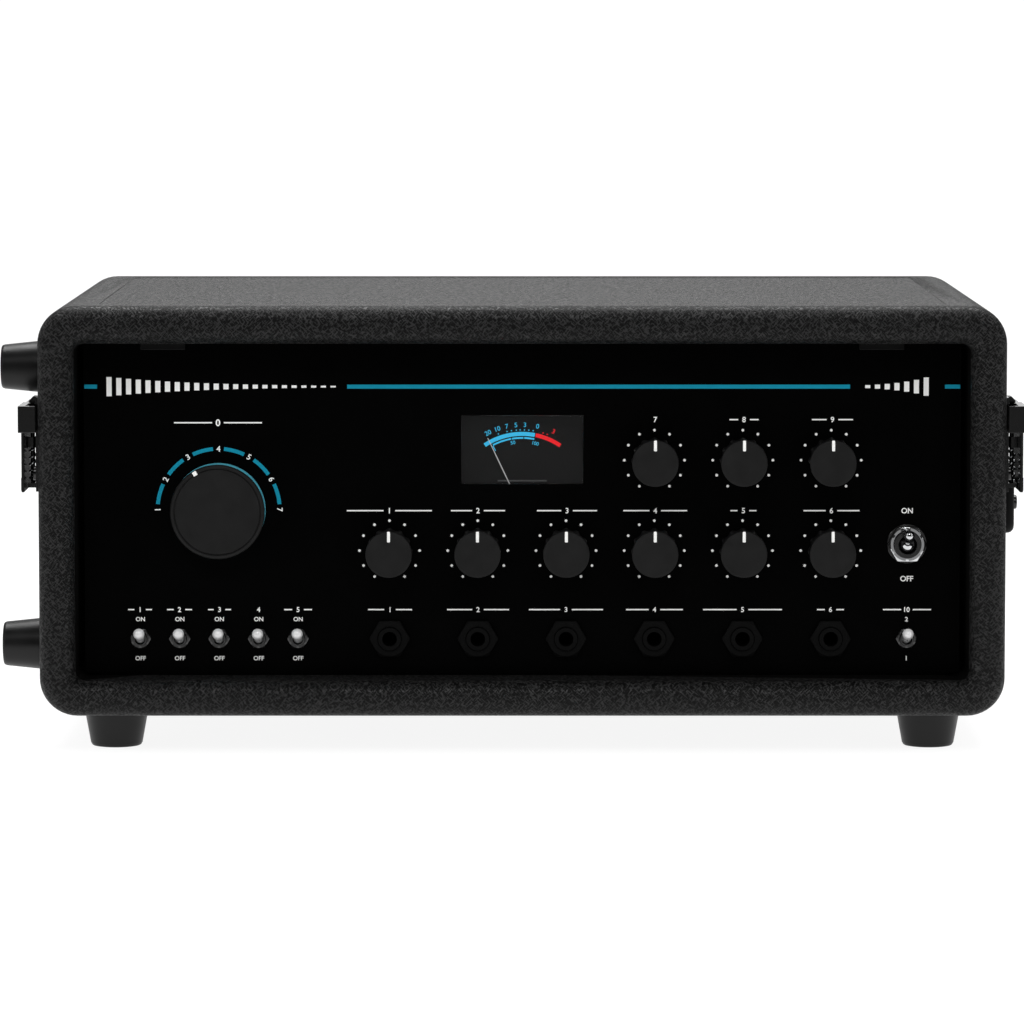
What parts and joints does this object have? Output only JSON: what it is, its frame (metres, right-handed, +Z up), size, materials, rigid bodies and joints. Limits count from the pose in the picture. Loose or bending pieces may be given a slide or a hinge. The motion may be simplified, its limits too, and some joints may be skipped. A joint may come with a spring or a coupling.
{
  "type": "tape echo unit",
  "caption": "Tape echo unit: black covered case, recessed panel with knobs, toggles, jacks and a level meter, hinged top hatch over the tape deck, side hooks, strap handle and feet.",
  "frame": {"origin": "middle of the bounding box at the plane the bottom feet stand on", "axes": "+X to the right as seen from the control panel's side, the panel faces -Y, +Z up"},
  "size_m": [0.4625, 0.285, 0.2],
  "materials": {
    "case_covering": "black grained leatherette glued over plywood",
    "black_rubber": "dull moulded rubber",
    "black_leather": "black vinyl-covered strap",
    "black_plastic": "dull black moulding",
    "panel_paint": "satin black paint with printed scales",
    "zinc_steel": "zinc-plated steel",
    "chrome": "bright chrome plate",
    "black_nickel": "black nickel plate",
    "bright_aluminium": "brushed aluminium",
    "brass": "turned brass",
    "meter_glass": "clear window",
    "dial_card": "dark grey printed dial",
    "needle_paint": "light grey paint",
    "copper_winding": "yellow tape over copper winding",
    "board": "green glass-fibre laminate",
    "magnetic_tape": "brown oxide-coated tape",
    "belt_rubber": "flat rubber belt",
    "clear_acrylic": "smoked acrylic sheet"
  },
  "bodies": {
    "case": {"bottom_feet": "black_rubber", "case_screws": "chrome", "case_shell": "case_covering", "chassis_bolts": "zinc_steel", "chassis_tray": "zinc_steel", "circuit_board": "board", "deck_plate": "bright_aluminium", "drive_belt": "belt_rubber", "front_panel": "panel_paint", "handle_end_caps": "panel_paint", "handle_strap": "black_leather", "hatch_hinge": "zinc_steel", "jack_bodies": "black_plastic", "jack_nuts": "black_plastic", "latch_bases": "black_nickel", "mains_inlet": "black_plastic", "meter_dial": "dial_card", "meter_housing": "black_plastic", "meter_window": "meter_glass", "mode_switch_body": "black_plastic", "motor_can": "zinc_steel", "pot_bodies": "zinc_steel", "rear_panel": "panel_paint", "reverb_springs": "zinc_steel", "reverb_tank": "zinc_steel", "side_feet": "black_rubber", "switch_bodies": "black_plastic", "switch_nuts": "chrome", "tape_bin": "bright_aluminium", "tape_bin_cover": "clear_acrylic", "tape_guides": "bright_aluminium", "tape_heads": "chrome", "tape_loop": "magnetic_tape", "transformer": "copper_winding"},
    "volume_knob": {"volume_knob": "black_plastic"},
    "chorus_rate_knob": {"chorus_rate_knob": "black_plastic"},
    "chorus_depth_knob": {"chorus_depth_knob": "black_plastic"},
    "reverb_volume_knob": {"reverb_volume_knob": "black_plastic"},
    "speed_knob": {"speed_knob": "black_plastic"},
    "echo_volume_knob": {"echo_volume_knob": "black_plastic"},
    "bass_knob": {"bass_knob": "black_plastic"},
    "treble_knob": {"treble_knob": "black_plastic"},
    "feedback_knob": {"feedback_knob": "black_plastic"},
    "mode_knob": {"mode_knob": "black_plastic"},
    "direct_toggle": {"direct_toggle": "chrome"},
    "motor_toggle": {"motor_toggle": "chrome"},
    "overdub_toggle": {"overdub_toggle": "chrome"},
    "echo_toggle": {"echo_toggle": "chrome"},
    "chorus_toggle": {"chorus_toggle": "chrome"},
    "output_level_toggle": {"output_level_toggle": "chrome"},
    "power_toggle": {"power_toggle": "chrome"},
    "meter_needle": {"meter_needle": "needle_paint"},
    "hatch": {"top_hatch": "case_covering", "hatch_tabs": "panel_paint"},
    "left_latch_hook": {"left_latch_hook": "black_nickel"},
    "right_latch_hook": {"right_latch_hook": "black_nickel"},
    "capstan": {"capstan": "zinc_steel"},
    "motor_pulley": {"motor_pulley": "brass"},
    "pinch_arm": {"pinch_arm": "zinc_steel"},
    "pinch_roller": {"pinch_roller": "black_rubber"}
  },
  "joints": [
    {"name": "volume_knob_turn", "type": "hinge", "parent": "case", "child": "volume_knob", "pos_m": [-0.05715, -0.1385, 0.0893], "axis": [0, 1, 0], "range_deg": [-150, 150]},
    {"name": "chorus_rate_knob_turn", "type": "hinge", "parent": "case", "child": "chorus_rate_knob", "pos_m": [-0.01765, -0.1385, 0.0893], "axis": [0, 1, 0], "range_deg": [-150, 150]},
    {"name": "chorus_depth_knob_turn", "type": "hinge", "parent": "case", "child": "chorus_depth_knob", "pos_m": [0.02185, -0.1385, 0.0893], "axis": [0, 1, 0], "range_deg": [-150, 150]},
    {"name": "reverb_volume_knob_turn", "type": "hinge", "parent": "case", "child": "reverb_volume_knob", "pos_m": [0.06135, -0.1385, 0.0893], "axis": [0, 1, 0], "range_deg": [-150, 150]},
    {"name": "speed_knob_turn", "type": "hinge", "parent": "case", "child": "speed_knob", "pos_m": [0.10085, -0.1385, 0.0893], "axis": [0, 1, 0], "range_deg": [-150, 150]},
    {"name": "echo_volume_knob_turn", "type": "hinge", "parent": "case", "child": "echo_volume_knob", "pos_m": [0.14035, -0.1385, 0.0893], "axis": [0, 1, 0], "range_deg": [-150, 150]},
    {"name": "bass_knob_turn", "type": "hinge", "parent": "case", "child": "bass_knob", "pos_m": [0.06135, -0.1385, 0.1299], "axis": [0, 1, 0], "range_deg": [-150, 150]},
    {"name": "treble_knob_turn", "type": "hinge", "parent": "case", "child": "treble_knob", "pos_m": [0.10085, -0.1385, 0.1299], "axis": [0, 1, 0], "range_deg": [-150, 150]},
    {"name": "feedback_knob_turn", "type": "hinge", "parent": "case", "child": "feedback_knob", "pos_m": [0.14035, -0.1385, 0.1299], "axis": [0, 1, 0], "range_deg": [-150, 150]},
    {"name": "mode_knob_turn", "type": "hinge", "parent": "case", "child": "mode_knob", "pos_m": [-0.13355, -0.1315, 0.1077], "axis": [0, 1, 0], "range_deg": [-60, 120]},
    {"name": "direct_toggle_throw", "type": "hinge", "parent": "case", "child": "direct_toggle", "pos_m": [-0.16889, -0.1198, 0.0498], "axis": [1, 0, 0], "range_deg": [0, 34]},
    {"name": "motor_toggle_throw", "type": "hinge", "parent": "case", "child": "motor_toggle", "pos_m": [-0.15122, -0.1198, 0.0498], "axis": [1, 0, 0], "range_deg": [0, 34]},
    {"name": "overdub_toggle_throw", "type": "hinge", "parent": "case", "child": "overdub_toggle", "pos_m": [-0.13355, -0.1198, 0.0498], "axis": [1, 0, 0], "range_deg": [0, 34]},
    {"name": "echo_toggle_throw", "type": "hinge", "parent": "case", "child": "echo_toggle", "pos_m": [-0.11588, -0.1198, 0.0498], "axis": [1, 0, 0], "range_deg": [0, 34]},
    {"name": "chorus_toggle_throw", "type": "hinge", "parent": "case", "child": "chorus_toggle", "pos_m": [-0.09821, -0.1198, 0.0498], "axis": [1, 0, 0], "range_deg": [0, 34]},
    {"name": "output_level_toggle_throw", "type": "hinge", "parent": "case", "child": "output_level_toggle", "pos_m": [0.17445, -0.1198, 0.0498], "axis": [1, 0, 0], "range_deg": [0, 34]},
    {"name": "power_toggle_throw", "type": "hinge", "parent": "case", "child": "power_toggle", "pos_m": [0.17445, -0.1215, 0.0924], "axis": [1, 0, 0], "range_deg": [0, 40]},
    {"name": "meter_needle_swing", "type": "hinge", "parent": "case", "child": "meter_needle", "pos_m": [0.00225, -0.113, 0.11095], "axis": [0, 1, 0], "range_deg": [0, 60], "stiffness_Nm_per_rad": 0.00001},
    {"name": "hatch_lift", "type": "hinge", "parent": "case", "child": "hatch", "pos_m": [0.00225, 0.1167, 0.198], "axis": [-1, 0, 0], "range_deg": [0, 92]},
    {"name": "left_latch_hook_press", "type": "hinge", "parent": "case", "child": "left_latch_hook", "pos_m": [-0.21665, -0.1165, 0.136], "axis": [0, 0, -1], "range_deg": [0, 9], "stiffness_Nm_per_rad": 0.5, "springref_deg": -11.46},
    {"name": "right_latch_hook_press", "type": "hinge", "parent": "case", "child": "right_latch_hook", "pos_m": [0.22115, -0.1165, 0.136], "axis": [0, 0, 1], "range_deg": [0, 9], "stiffness_Nm_per_rad": 0.5, "springref_deg": -11.46},
    {"name": "capstan_spin", "type": "hinge", "parent": "case", "child": "capstan", "pos_m": [0.09725, -0.0212, 0.117], "axis": [0, 0, 1], "continuous": true},
    {"name": "motor_pulley_spin", "type": "hinge", "parent": "case", "child": "motor_pulley", "pos_m": [0.06225, 0.0575, 0.081], "axis": [0, 0, 1], "continuous": true},
    {"name": "pinch_arm_swing", "type": "hinge", "parent": "case", "child": "pinch_arm", "pos_m": [0.13225, -0.0425, 0.142], "axis": [0, 0, 1], "range_deg": [0, 12], "stiffness_Nm_per_rad": 0.02, "springref_deg": -5.73},
    {"name": "pinch_roller_spin", "type": "hinge", "parent": "pinch_arm", "child": "pinch_roller", "pos_m": [0.09725, -0.0348, 0.141], "axis": [0, 0, 1], "continuous": true}
  ],
  "couplings": [
    {"joint": "motor_pulley_spin", "follows": "capstan_spin", "ratio": 4.5},
    {"joint": "pinch_roller_spin", "follows": "capstan_spin", "ratio": -0.3}
  ]
}
